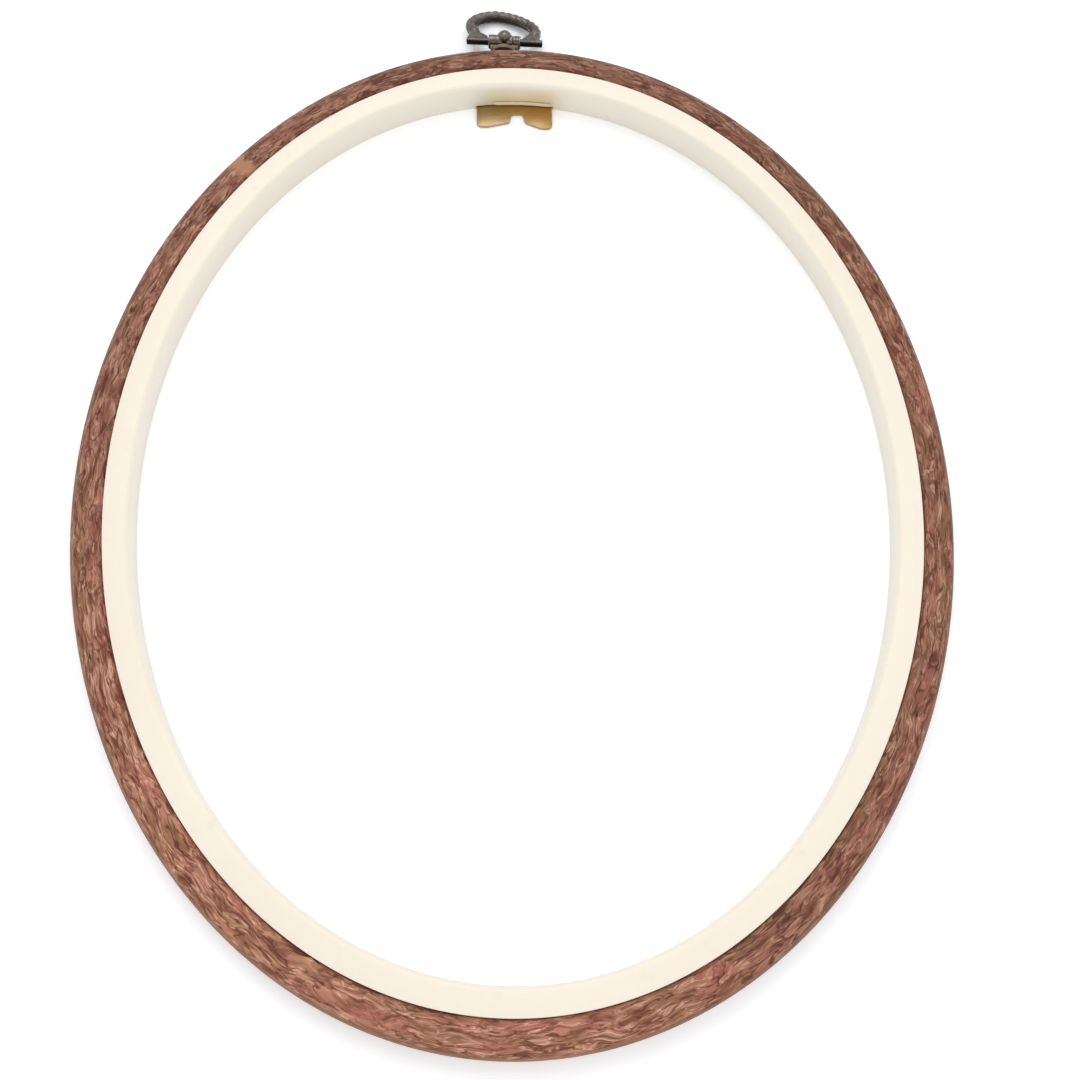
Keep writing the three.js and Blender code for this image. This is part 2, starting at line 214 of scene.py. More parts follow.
def slabObject(name, outline, bottom, top):
    # A flat outline raised from one height to another
    count = len(outline)
    points = [(x, y, z) for z in (bottom, top) for x, y in outline]
    faces = [list(range(count))[::-1], list(range(count, 2 * count))]
    for index in range(count):
        after = (index + 1) % count
        faces.append([index, after, count + after, count + index])
    return makeObject(name, points, faces)


def rodObject(name, axis, radii, places, sides=48):
    # A rod along a local axis, with one radius for each place on it
    along, across, up = np.roll(np.eye(3), -"xyz".index(axis), axis=0)
    each = (len(places), 1)
    radii = np.tile(np.array(radii)[:, None], (1, sides))
    return tubeObject(name, np.outer(places, along), np.tile(across, each), np.tile(up, each), radii)


def settle(piece):
    # Applies the modifiers, so that the finished mesh is the piece's own
    graph = bpy.context.evaluated_depsgraph_get()
    finished = bpy.data.meshes.new_from_object(piece.evaluated_get(graph))
    piece.modifiers.clear()
    piece.data = finished


def combine(piece, operation, others):
    for other in others:
        change = piece.modifiers.new(operation.lower(), "BOOLEAN")
        change.operation = operation
        change.solver = "EXACT"
        change.object = other
    bpy.context.view_layer.update()
    settle(piece)
    for other in others:
        bpy.data.objects.remove(other)


def castTogether(name, parts, grainSize, smoothing):
    # Fuses overlapping shells into one casting with small fillets
    points, faces, start = [], [], 0
    for part in parts:
        points += [part.matrix_world @ vertex.co for vertex in part.data.vertices]
        faces += [[start + index for index in polygon.vertices] for polygon in part.data.polygons]
        start += len(part.data.vertices)
        bpy.data.objects.remove(part)
    piece = makeObject(name, [tuple(point) for point in points], faces)
    fuse = piece.modifiers.new("fuse", "REMESH")
    fuse.mode = "VOXEL"
    fuse.voxel_size = grainSize
    soften = piece.modifiers.new("soften", "SMOOTH")
    soften.factor = 0.5
    soften.iterations = smoothing
    bpy.context.view_layer.update()
    settle(piece)
    return piece


def place(piece, matrix):
    piece.data.transform(matrix)
    return piece


def dress(piece, material, body, node, sharpDeg=40):
    piece.data.materials.clear()
    piece.data.materials.append(material)
    piece.data.shade_smooth()
    piece.data.set_sharp_from_angle(angle=math.radians(sharpDeg))
    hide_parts(node)
    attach(piece, body)
    return piece


# Shader sums are written as expressions on sockets

class Socket:
    def __init__(self, tree, socket):
        self.tree = tree
        self.socket = socket

    def math(self, operation, first, second=0.0):
        return addNode(self.tree, "ShaderNodeMath", {"operation": operation}, {0: first, 1: second})

    def output(self, name):
        return Socket(self.tree, self.socket.node.outputs[name])

    def __add__(self, other):
        return self.math("ADD", self, other)

    def __radd__(self, other):
        return self.math("ADD", other, self)

    def __sub__(self, other):
        return self.math("SUBTRACT", self, other)

    def __rsub__(self, other):
        return self.math("SUBTRACT", other, self)

    def __mul__(self, other):
        return self.math("MULTIPLY", self, other)

    def __rmul__(self, other):
        return self.math("MULTIPLY", other, self)

    def __truediv__(self, other):
        return self.math("DIVIDE", self, other)

    def __rtruediv__(self, other):
        return self.math("DIVIDE", other, self)


def addNode(tree, kind, settings=None, values=None, output=0):
    node = tree.nodes.new(kind)
    for name, value in (settings or {}).items():
        if name == "stops":
            setStops(node.color_ramp, value)
        else:
            setattr(node, name, value)
    for name, value in (values or {}).items():
        if isinstance(value, Socket):
            tree.links.new(value.socket, node.inputs[name])
        else:
            node.inputs[name].default_value = value
    return Socket(tree, node.outputs[output])


def setStops(ramp, stops):
    while len(ramp.elements) < len(stops):
        ramp.elements.new(0.5)
    for element, (position, colour) in zip(ramp.elements, stops):
        element.position = position
        element.color = colour


class Finish:
    # A material being made, with its main shader
    def __init__(self, name, **shaderValues):
        self.material = bpy.data.materials.new(name)
        self.material.use_nodes = True
        self.tree = self.material.node_tree
        self.shader = self.tree.nodes["Principled BSDF"]
        for socketName, value in shaderValues.items():
            self.shader.inputs[socketName.replace("_", " ")].default_value = value

    def add(self, kind, settings=None, values=None, output=0):
        return addNode(self.tree, kind, settings, values, output)

    def feed(self, **links):
        for socketName, link in links.items():
            self.tree.links.new(link.socket, self.shader.inputs[socketName.replace("_", " ")])

    def math(self, operation, *values):
        return self.add("ShaderNodeMath", {"operation": operation}, dict(enumerate(values)))

    def vectorMath(self, operation, *values, output=0):
        return self.add("ShaderNodeVectorMath", {"operation": operation}, dict(enumerate(values)), output)

    def axes(self, vector):
        return self.add("ShaderNodeSeparateXYZ", None, {0: vector})

    def noise(self, vector, scale, detail=2.0, roughness=0.5, output="Fac"):
        return self.add("ShaderNodeTexNoise", None,
                        {"Vector": vector, "Scale": scale, "Detail": detail, "Roughness": roughness}, output)

    def stretch(self, vector, scales, shift=(0, 0, 0)):
        return self.vectorMath("MULTIPLY_ADD", vector, scales, shift)

    def between(self, value, atNone, atFull):
        # 0 to 1 as the value goes from one place to the other, which may be the lower one
        return self.add("ShaderNodeMapRange", {"interpolation_type": "SMOOTHSTEP"},
                        {"Value": value, "From Min": atNone, "From Max": atFull})

    def blend(self, factor, first, second):
        return self.add("ShaderNodeMix", {"data_type": "RGBA"}, {0: factor, 6: first, 7: second}, 2)

    def bump(self, height, depth, strength=1.0):
        return self.add("ShaderNodeBump", None, {"Height": height, "Distance": depth, "Strength": strength})


woodLooks = {
    "dark": screenColour(100, 54, 40),
    "mid": screenColour(152, 100, 79),
    "light": screenColour(194, 144, 117),
    "olive": screenColour(140, 106, 72),
    "pink": screenColour(168, 100, 86),
    "stroke": screenColour(86, 42, 30),
    "fleck": screenColour(214, 170, 146),
    "seam": screenColour(184, 134, 100),
    # plainer colour of the crown's outer slope, darkened as painted shade on the side turned from the light
    "slopeTintAndPaintedShade": screenColour(130, 92, 64),
    "swirlLength": 11 * mm,
    "swirlWidth": 4.5 * mm,
    "swirlAlong": 4.5 * mm,
    "swirlAcross": 2.2 * mm,
    "islandLength": 7 * mm,
    "islandWidth": 2.2 * mm,
    "reliefDepth": 0.07 * mm,
    "crestPlace": 25.2 * mm,  # how far round the section the crest is
    "shade": 0.9,  # of the whole ring, which the painted light and painted shade stretches raise and lower
    "paintedLightStretch": (70 * mm, 185 * mm, 270 * mm, 335 * mm),  # painted light at the bottom, where it fades in and out
    "paintedLightStretchBy": 0.33,
    "paintedShadeStretch": (470 * mm, 540 * mm, 640 * mm, 690 * mm),  # painted shade at the top
    "paintedShadeStretchBy": 0.14,
}


def woodGrainFinish():
    # Noise scales are waves in a metre, along the ring and across its section
    looks = woodLooks
    finish = Finish("woodGrainVinyl", Specular_IOR_Level=0.22)
    grainMap = finish.add("ShaderNodeUVMap", {"uv_map": "grain"})

    # The swirl that carries every layer of the figure
    swirlScale = (1 / looks["swirlLength"], 1 / looks["swirlWidth"], 1)
    swirl = finish.noise(finish.stretch(grainMap, swirlScale, (3.1, 7.7, 0)), 1.0, 2.0, 0.5, "Color")
    swirl = finish.vectorMath("SUBTRACT", swirl, (0.5, 0.5, 0.5))
    flow = finish.stretch(swirl, (2 * looks["swirlAlong"], 2 * looks["swirlAcross"], 0), grainMap)

    def fibres(scales, seed, detail=2.0):
        return finish.noise(finish.stretch(flow, (*scales, 1), (0, 0, seed)), 1.0, detail, 0.55)

    def veins(scales, seed, width):
        # Thin wavy lines, where a noise passes through its middle value
        ridge = finish.math("ABSOLUTE", fibres(scales, seed) - 0.5)
        return finish.between(ridge, width, 0.0)

    # Islands of burl and the fibres that follow the swirl
    island = fibres((1 / looks["islandLength"], 1 / looks["islandWidth"]), 0, 3.0)
    fibre = fibres((170, 1100), 2, 3.0)
    broad = finish.noise(finish.stretch(grainMap, (90, 300, 1), (2, 9, 0)), 1.0, 2.0)
    tone = finish.between(island, 0.32, 0.68) * 0.4 + finish.between(fibre, 0.3, 0.7) * 0.52 + 0.04
    stops = [(0.0, looks["dark"]), (0.42, looks["mid"]), (1.0, looks["light"])]
    colour = finish.add("ShaderNodeValToRGB", {"stops": stops}, {"Fac": tone})
    patches = finish.noise(finish.stretch(grainMap, (80, 260, 1), (5, 1, 0)), 1.0, 2.0)
    colour = finish.blend(finish.between(patches, 0.52, 0.66) * 0.5, colour, looks["olive"])
    colour = finish.blend(finish.between(patches, 0.48, 0.36) * 0.5, colour, looks["pink"])

    # Dark veins in stretches, light ones between them, short strokes, and a few ringed eyes
    darkVein = veins((120, 600), 4, 0.045) * finish.between(broad, 0.4, 0.54)
    fineVein = veins((210, 1000), 8, 0.05) * finish.between(broad, 0.58, 0.44)
    lightVein = veins((160, 850), 11, 0.04) * finish.between(island, 0.42, 0.56)
    stroke = finish.between(fibres((190, 1300), 6), 0.57, 0.64)
    spots = {"Vector": finish.stretch(flow, (120, 260, 1), (0, 0, 3)), "Scale": 1.0, "Randomness": 1.0}
    spot = finish.add("ShaderNodeTexVoronoi", {"feature": "F1"}, spots, "Distance")
    rings = finish.math("PINGPONG", spot * 4.5, 0.5) * 2
    eye = finish.between(rings, 0.7, 0.3) * finish.between(spot, 0.42, 0.2)
    layers = [(lightVein * 0.7, "fleck"), (fineVein * 0.6, "dark"), (darkVein * 0.85, "stroke"),
              (eye * 0.5, "stroke"), (stroke * 0.7, "stroke")]
    for share, tint in layers:
        colour = finish.blend(share, colour, looks[tint])

    # The crown's outer slope is plainer, and painted shade darkens it; painted light makes the ring's bottom
    # its lightest stretch
    along = finish.axes(grainMap)
    fromCrest = along.output("Y") + (island - 0.5) * 0.003 - looks["crestPlace"]
    slopeTintAndPaintedShade = finish.between(fromCrest, -2.2 * mm, -3.8 * mm) * finish.between(fromCrest, -12 * mm, -5 * mm)
    colour = finish.blend(slopeTintAndPaintedShade * 0.7, colour, looks["slopeTintAndPaintedShade"])

    def within(stretch):
        fadeIn, full, past, fadeOut = stretch
        return finish.between(along, fadeIn, full) * finish.between(along, fadeOut, past)

    # Painted light on the bottom stretch and painted shade on the top stretch scale the colour
    paintedLight = within(looks["paintedLightStretch"]) * looks["paintedLightStretchBy"]
    paintedShade = within(looks["paintedShadeStretch"]) * looks["paintedShadeStretchBy"]
    shade = paintedLight - paintedShade + looks["shade"]
    colour = finish.add("ShaderNodeVectorMath", {"operation": "SCALE"}, {0: colour, "Scale": shade})

    # The strip's joined end shows as a plain lighter patch with a feathered edge
    ragged = along + (island - 0.5) * 0.006 + (fibre - 0.5) * 0.003
    patch = finish.between(ragged, 6.2 * mm, 3.4 * mm) * finish.between(ragged, 0.0, 1.2 * mm)
    colour = finish.blend(patch * 0.8, colour, looks["seam"])

    height = (1 - stroke) * 0.5 + fibre * 0.3 - darkVein * 0.4
    finish.feed(Base_Color=colour, Roughness=0.5 + stroke * 0.12 + (fibre - 0.5) * 0.16,
                Normal=finish.bump(height, looks["reliefDepth"], 0.7))
    return finish.material


# Nail plate places, measured from the ring's inner wall at the top
nailPlate = {
    "halfWidth": 10.5 * mm,
    "bottom": 0.2 * mm,
    "top": 0.8 * mm,
    "seat": 3.6 * mm,
    "footDrops": (7.6 * mm, 8.1 * mm),  # left and right
    "footRound": 1.3 * mm,
    "footWidth": 3.2 * mm,
    "mouthDrop": 6.15 * mm,
    "mouthHalfWidth": 2.2 * mm,
    "notchDrop": 3.3 * mm,
    "notchHalfWidth": 1.5 * mm,
    "notchRound": 0.6 * mm,
    "notchOffset": 0.75 * mm,
    "edgeRound": 0.05 * mm,
}
platePins = {
    "offset": 7.6 * mm,
    "seat": 1.8 * mm,
    "radius": 0.5 * mm,
    "headRadius": 1 * mm,
    "headBottom": 0.25 * mm,
    "headThickness": 0.2 * mm,
    "length": 3.6 * mm,
}
lipOverPlate = {  # moulded on the inner wall
    "halfWidth": 8.1 * mm,
    "offset": 2.2 * mm,
    "bottom": 1.1 * mm,
    "height": 0.9 * mm,
    "proud": 0.55 * mm,
    "blend": 0.25 * mm,
    "slot": 0.5 * mm,  # height of the narrow slot above it
    "slotDepth": 0.8 * mm,
}
wallLine = rimCentre.y + rimHalfLength - creamRing["width"]

creamLooks = {
    "pale": screenColour(252, 243, 228),
    "deep": screenColour(248, 236, 217),
    # wall: painted bounce light from the white table, paler and greyer on faces turned sideways
    "wall": screenColour(248, 243, 232),
    "scuff": screenColour(226, 208, 180),
    "paintedPlateReflection": screenColour(243, 222, 178),  # painted reflection of the gilt plate on the wall over it
    "paintedSlotShadow": screenColour(158, 130, 76),  # painted shadow in the slot over the plate
    "roughness": 0.38,
    "grainDepth": 0.02 * mm,
}


def creamPlasticFinish():
    looks, lip = creamLooks, lipOverPlate
    finish = Finish("creamPlastic", Specular_IOR_Level=0.4, Subsurface_Weight=0.12,
                    Subsurface_Radius=(1.0, 0.8, 0.5), Subsurface_Scale=1.2 * mm)
    spot = finish.add("ShaderNodeTexCoord", None, None, "Object")
    cloud = finish.noise(spot, 34.0, 2.0)
    speck = finish.noise(spot, 2100.0, 2.0)
    scuff = finish.between(finish.noise(finish.stretch(spot, (260, 260, 1500)), 1.0, 3.0), 0.62, 0.74)
    facing = finish.axes(finish.add("ShaderNodeTexCoord", None, None, "Normal"))
    colour = finish.blend(cloud, looks["deep"], looks["pale"])
    # Painted bounce light: faces turned sideways take the paler wall colour
    colour = finish.blend(finish.between(facing.output("Z"), 0.7, 0.3) * 0.7, colour, looks["wall"])
    colour = finish.blend(scuff * 0.1, colour, looks["scuff"])

    # A painted reflection of the gilt plate warms the wall over it, and a painted shadow darkens the slot
    # over the plate
    across = finish.axes(spot)
    along, height = across.output("Y"), across.output("Z")
    aside = finish.math("ABSOLUTE", across - lip["offset"])
    onWall = finish.between(along, wallLine + 1.5 * mm, wallLine + 1.2 * mm) * finish.between(along, 0.0, mm)
    paintedReflection = onWall * finish.between(aside, 14 * mm, 6 * mm) * finish.between(height, 9.5 * mm, 4 * mm)
    colour = finish.blend(paintedReflection * 0.75, colour, looks["paintedPlateReflection"])
    # Painted shadow under the slot's upper edge, in the slot over the lip
    ease = 0.1 * mm
    low = lip["bottom"] + lip["height"]
    high = low + lip["slot"]
    inSlot = finish.between(height, low - ease, low + ease) * finish.between(height, high + ease, high - ease)
    end = finish.between(aside, lip["halfWidth"] + 0.3 * mm, lip["halfWidth"] - 0.6 * mm)
    colour = finish.blend(inSlot * onWall * end * 0.5, colour, looks["paintedSlotShadow"])
    finish.feed(Base_Color=colour, Roughness=looks["roughness"] + (cloud - 0.5) * 0.12 + scuff * 0.18,
                Normal=finish.bump(speck * 0.5 + cloud * 0.8, looks["grainDepth"], 0.5))
    return finish.material


metalLooks = {
    "antiqueBronze": {
        "bright": screenColour(176, 169, 162),
        "mid": screenColour(124, 117, 112),
        "dark": screenColour(58, 51, 47),
        "roughness": 0.38,
        "pitting": 0.7,
        "under": (-0.1, -0.5, 0.88),  # painted shade: how it faces where it starts to turn black, where it is black, and how much
        "barPaintedShade": 0.6,  # how much sooner the bar turns black with painted shade
    },
    "postBronze": {
        "bright": screenColour(196, 189, 180),
        "mid": screenColour(136, 128, 117),
        "dark": screenColour(74, 66, 56),
        "roughness": 0.28,
        "pitting": 0.2,
        "under": (0.15, -0.6, 0.6),
        "paintedShadeFrom": -2.3 * mm,  # painted shade: out from the hinge, from where it is painted black
        "ribsFrom": 2.5 * mm,  # aside from the hinge
        "ribPitch": 0.7 * mm,
    },
    "washerBronze": {
        "bright": screenColour(184, 160, 134),
        "mid": screenColour(140, 118, 96),
        "dark": screenColour(56, 43, 33),
        "roughness": 0.42,
        "pitting": 0.3,
        "under": (-0.1, -0.6, 0.5),
    },
    "washerSteel": {
        "bright": screenColour(200, 198, 192),
        "mid": screenColour(160, 158, 152),
        "dark": screenColour(96, 92, 86),
        "roughness": 0.36,
        "pitting": 0.15,
        "under": (-0.1, -0.6, 0.2),
    },
}
# black of the painted shade on metal faces turned from the light
paintedShadeBlack = screenColour(24, 21, 20)
litSide = (0, 0.69, 0.72)  # faces that get no painted shade look this way


def agedMetalFinish(name):
    # Cast or turned metal with a patina, rubbed bright on its high places, and with painted shade that
    # blackens the side turned from the light
    looks = metalLooks[name]
    finish = Finish(name, Metallic=0.88)
    spot = finish.add("ShaderNodeTexCoord", None, None, "Object")
    edge = finish.add("ShaderNodeNewGeometry", None, None, "Pointiness")
    cloud = finish.noise(spot, 420.0, 3.0, 0.6)
    grain = finish.noise(spot, 2600.0, 3.0, 0.6)
    uneven = edge + (cloud - 0.5) * 0.05
    worn = finish.between(uneven, 0.5, 0.56)
    hollow = finish.between(uneven, 0.5, 0.44)
    colour = finish.blend(finish.between(cloud, 0.35, 0.65), looks["mid"], looks["dark"])
    colour = finish.blend(finish.between(cloud + grain, 0.85, 1.15) * 0.45, colour, looks["mid"])
    colour = finish.blend(worn * 0.7, colour, looks["bright"])
    colour = finish.blend(hollow * 0.85, colour, looks["dark"])

    # Painted shade: black on the side turned from the light, and more of it on the loop's bar
    facing = finish.add("ShaderNodeTexCoord", None, None, "Normal")
    lit = finish.vectorMath("DOT_PRODUCT", facing, litSide, output="Value")
    across = finish.axes(spot)
    reach = across.output("Y") - hingePoint.y
    if "barPaintedShade" in looks:
        lit = lit - finish.between(reach, 1.5 * mm, 0.8 * mm) * looks["barPaintedShade"]
    turning, turned, most = looks["under"]
    colour = finish.blend(finish.between(lit + (cloud - 0.5) * 0.25, turning, turned) * most, colour, paintedShadeBlack)
    # Painted shade on the post's shoulder, towards the ring's wall
    if "paintedShadeFrom" in looks:
        ragged = reach + (cloud - 0.5) * mm - looks["paintedShadeFrom"]
        colour = finish.blend(finish.between(ragged, 0.0, -0.5 * mm) * 0.8, colour, paintedShadeBlack)
    if "ribsFrom" in looks:
        aside = across - hingePoint.x - looks["ribsFrom"]
        ribs = finish.math("PINGPONG", aside / looks["ribPitch"], 0.5)
        lines = finish.between(ribs, 0.2, 0.05) * finish.between(aside, 0.0, 0.1 * mm)
        colour = finish.blend(lines * 0.6, colour, looks["dark"])
    polish = (grain - 0.5) * (0.35 * looks["pitting"]) - worn * 0.08 + hollow * 0.15
    finish.feed(Base_Color=colour, Roughness=polish + looks["roughness"],
                Normal=finish.bump(grain * 0.6 + cloud, 0.05 * mm, looks["pitting"]))
    return finish.material


# The upper colours carry painted shade by the ring's wall, the lower ones painted light towards the plate's
# feet
giltLooks = {
    "upperLeft": screenColour(166, 143, 88),
    "upperRight": screenColour(196, 146, 74),
    "lowerLeft": screenColour(184, 160, 124),
    "lowerRight": screenColour(180, 148, 98),
    "paintedLightFrom": (-1.577 * mm, -6.877 * mm),  # off the ring's wall: where the upper colours' painted shade starts to give way to the lower colours' painted light, and is gone
    "lines": screenColour(146, 118, 72),
    "roughness": 0.38,
    "lineDepth": 0.02 * mm,
}


def giltFinish():
    # Thin satin plate: rolled lines along X, a greyer left and a warmer right, with painted shade darker up
    # by the ring's wall and painted light paler towards its feet
    looks = giltLooks
    finish = Finish("giltPlate", Metallic=0.82)
    spot = finish.add("ShaderNodeTexCoord", None, None, "Object")
    rolled = finish.noise(finish.stretch(spot, (300, 5200, 300)), 1.0, 3.0)
    cloud = finish.noise(spot, 260.0, 2.0)
    across = finish.axes(spot)
    right = finish.between(across + (cloud - 0.5) * 0.006, -6 * mm, 9 * mm)
    upper = finish.blend(right, looks["upperLeft"], looks["upperRight"])
    lower = finish.blend(right, looks["lowerLeft"], looks["lowerRight"])
    fromWall = across.output("Y") + (cloud - 0.5) * 0.003 - wallLine
    colour = finish.blend(finish.between(fromWall, *looks["paintedLightFrom"]), upper, lower)
    colour = finish.blend(finish.between(rolled, 0.4, 0.7) * 0.3, colour, looks["lines"])
    finish.feed(Base_Color=colour, Roughness=looks["roughness"] + (rolled - 0.5) * 0.2 + (cloud - 0.5) * 0.1,
                Normal=finish.bump(rolled, looks["lineDepth"], 0.5))
    return finish.material


def turnAtX(x, offset):
    # Steps to the turn at which the offset rim's top has this X
    turn = math.pi / 2
    for _ in range(20):
        turn -= (x - rimAt(np.array(turn), offset)[0]) / (rimHalfWidth + offset)
    return turn


def plateSeatEdge(margin):
    # The plate's edge under the ring, right to left, grown by a margin
    offset = nailPlate["seat"] - creamRing["width"] + margin
    right = turnAtX(nailPlate["halfWidth"] + margin, offset)
    count = 13
    turns = np.linspace(right, math.pi - right, count)
    return rimAt(turns, np.full(count, offset))


def atPin(piece, side):
    # Moves a piece from the origin to the left or the right pin
    offset = platePins["seat"] - creamRing["width"]
    x, y = rimAt(np.array(turnAtX(side * platePins["offset"], offset)), offset)
    return place(piece, Matrix.Translation((x, y, 0)))


def buildCreamRing():
    ring = creamRing
    width, edge = ring["width"], ring["edgeRound"]
    lean = (ring["frontWidth"] - width) / (creamHeight - ring["frontRound"])
    reach, lipHeight = ring["lipReach"], ring["lipHeight"]
    corners = [(reach, 0, 0.2 * mm), (reach, lipHeight, 0.2 * mm), (0, lipHeight, 0), (0, creamHeight, edge),
               (-width - lean * creamHeight, creamHeight, ring["frontRound"]), (-width, 0, edge)]
    steps = 6
    outline = softOutline(corners, steps)
    # Close rows on the inner wall, where the lip over the plate stands
    below = outline[-steps - 1:]
    above = outline[:-steps - 1]
    rows = np.linspace(above[-1], below[0], 62)[1:-1]
    outline = np.vstack([above, rows, below])

    def lipSwell(points, offsets, heights):
        # Carries the wall out into the lip and back into the slot over it
        lip, rise = lipOverPlate, smoothRise
        across = np.abs(points[..., 0] - lip["offset"])
        onWall = offsets < 0.03 * mm - width - lean * heights
        inside = 1 - rise(across, lip["halfWidth"] - 0.6 * mm, lip["halfWidth"])
        inside = inside * (points[..., 1] > rimCentre.y) * onWall
        low, high, slot = lip["bottom"], lip["bottom"] + lip["height"], lip["slot"]
        out = rise(heights, low - lip["blend"], low) * (1 - rise(heights, high - lip["blend"], high))
        cut = rise(heights, high, high + 0.3 * slot) * (1 - rise(heights, high + 0.7 * slot, high + slot))
        return inside * (lip["slotDepth"] * cut - (lip["proud"] - lean * heights) * out)

    piece = ringObject("creamRing", outline, ring["steps"], 0.0, lipSwell)
    top = nailPlate["top"] + fitGap
    half = nailPlate["halfWidth"] + fitGap
    low = wallLine - nailPlate["mouthDrop"]
    rebate = [*map(tuple, plateSeatEdge(fitGap)), (-half, low), (half, low)]
    cutters = [slabObject("rebate", rebate, -top, top)]
    radius = platePins["radius"] + fitGap
    for side in (-1, 1):
        hole = rodObject("hole", "z", [radius] * 2, [0, platePins["length"] + fitGap], 24)
        cutters.append(atPin(hole, side))
    combine(piece, "DIFFERENCE", cutters)
    return dress(piece, creamPlasticFinish(), "inner", "inner_ring")


# Hanger sizes, and where its pieces stand on the bar's centreline
hangerSizes = {
    "hingeReach": 6.1 * mm,
    "shankDrop": 0.35 * mm,
    "barRadius": 0.95 * mm,
    "barLength": 21.5 * mm,
    "bowRadius": 1.5 * mm,
    "bowHalfWidth": 9.24 * mm,
    "bowReach": 13.02 * mm,
    "bowWaist": 6.31 * mm,
    "bowSquareness": 1.8,
    "bowLean": math.radians(18.4),
    "bowShift": 1.52 * mm,
    "bowEnds": (4.3 * mm, 3.4 * mm),  # height over the bar where the round part ends, left then right
    "footTaper": 1.2 * mm,  # how much further it runs, thinning into the web
    "floorGap": 0.05 * mm,
    "webReach": (4.75 * mm, 5.9 * mm),  # left and right, as are the next two
    "webRoot": (1.4 * mm, 0.4 * mm),
    "webFoot": (10.5 * mm, 10 * mm),
    "webJoin": 4.3 * mm,
    "webOut": 1.1 * mm,
    "webThickness": 1.9 * mm,
    "ropePitch": 2 * mm,
    "ropeStrands": 4,
    "ropeDepth": 0.3 * mm,
    "barrelLength": 9 * mm,
    "barrelWall": 0.6 * mm,
    "domeRadius": 2.15 * mm,
    "domeLift": 0.95 * mm,
    "seamDepth": 0.3 * mm,
    "shoulderWidth": 7.6 * mm,
    "shoulderThickness": 1.6 * mm,
    "shoulderStandOff": 2.7 * mm,
    "shankRadius": 0.8 * mm,
    "rivetRadius": 1.2 * mm,
    "rivetThickness": 0.5 * mm,
    "backWasherRadius": 1.5 * mm,
    "backWasherThickness": 0.5 * mm,
}
cupSizes = {
    "radius": 3.8 * mm,
    "hubRadius": 1.9 * mm,
    "depth": 1.9 * mm,
    "wall": 0.7 * mm,
    "rimWidth": 1.2 * mm,
}
wallPlace = -hangerSizes["hingeReach"]  # the outer ring's wall, on the hanger's Y
pocketDepth = hangerSizes["backWasherThickness"] + hangerSizes["rivetThickness"] + 3 * fitGap
pocketFloor = wallPlace + pocketDepth - woodRing["width"]
washerTop = pocketFloor - fitGap
washerBottom = washerTop - hangerSizes["backWasherThickness"]
boreRadius = hangerSizes["barRadius"] + fitGap
shankFrame = hangerFrame @ Matrix.Translation((0, 0, -hangerSizes["shankDrop"]))


def buildWoodRing():
    ring = woodRing
    seat = creamRing["lipHeight"] + fitGap
    rabbet = creamRing["lipReach"] + fitGap
    foot = woodLow.z
    shoulder = woodHigh.z - ring["crownRise"]
    inner = ring["seam"]
    corners = [(inner, shoulder, 0), (inner, seat, ring["rabbetRound"]), (rabbet, seat, 0),
               (rabbet, foot, ring["rabbetRound"]), (woodOuter, foot, ring["footRound"]),
               (woodOuter, shoulder, 0)]
    turns = np.linspace(0, math.pi, ring["crownSteps"] + 1)[1:-1]
    half = (woodOuter - inner) / 2
    power = np.where(turns > math.pi / 2, 2 / ring["innerFullness"], 1)
    reach, rise = signedPower(np.cos(turns), power), np.sin(turns) ** power
    crown = np.column_stack([inner + half + half * reach, shoulder + ring["crownRise"] * rise])
    outline = np.vstack([softOutline(corners, 5), crown])
    piece = ringObject("woodRing", outline, ring["steps"], ring["seamTurn"])
    past = 4 * mm
    start = wallPlace - ring["width"] - past
    hole = rodObject("hole", "y", [hangerSizes["shankRadius"] + fitGap] * 2, [start, wallPlace + past])
    pocket = rodObject("pocket", "y", [hangerSizes["backWasherRadius"] + fitGap] * 2, [start, pocketFloor])
    combine(piece, "DIFFERENCE", [place(hole, shankFrame), place(pocket, shankFrame)])
    return dress(piece, woodGrainFinish(), "outer", "outer_ring")


def bowAngle(height):
    # The angle at which the bow's centreline stands so high over the bar
    sizes = hangerSizes
    rise = (height - sizes["bowWaist"]) / (sizes["bowReach"] - sizes["bowWaist"])
    return math.asin(math.copysign(abs(rise) ** (sizes["bowSquareness"] / 2), rise))


def bowPoints(angle):
    # The bow's centreline in the loop's own plane
    sizes = hangerSizes
    power = 2 / sizes["bowSquareness"]
    reach = sizes["bowWaist"] + (sizes["bowReach"] - sizes["bowWaist"]) * signedPower(np.sin(angle), power)
    middle = sizes["bowShift"] - reach * math.tan(sizes["bowLean"])
    across = middle + sizes["bowHalfWidth"] * signedPower(np.cos(angle), power)
    return np.stack([across, reach, 0 * reach], -1)


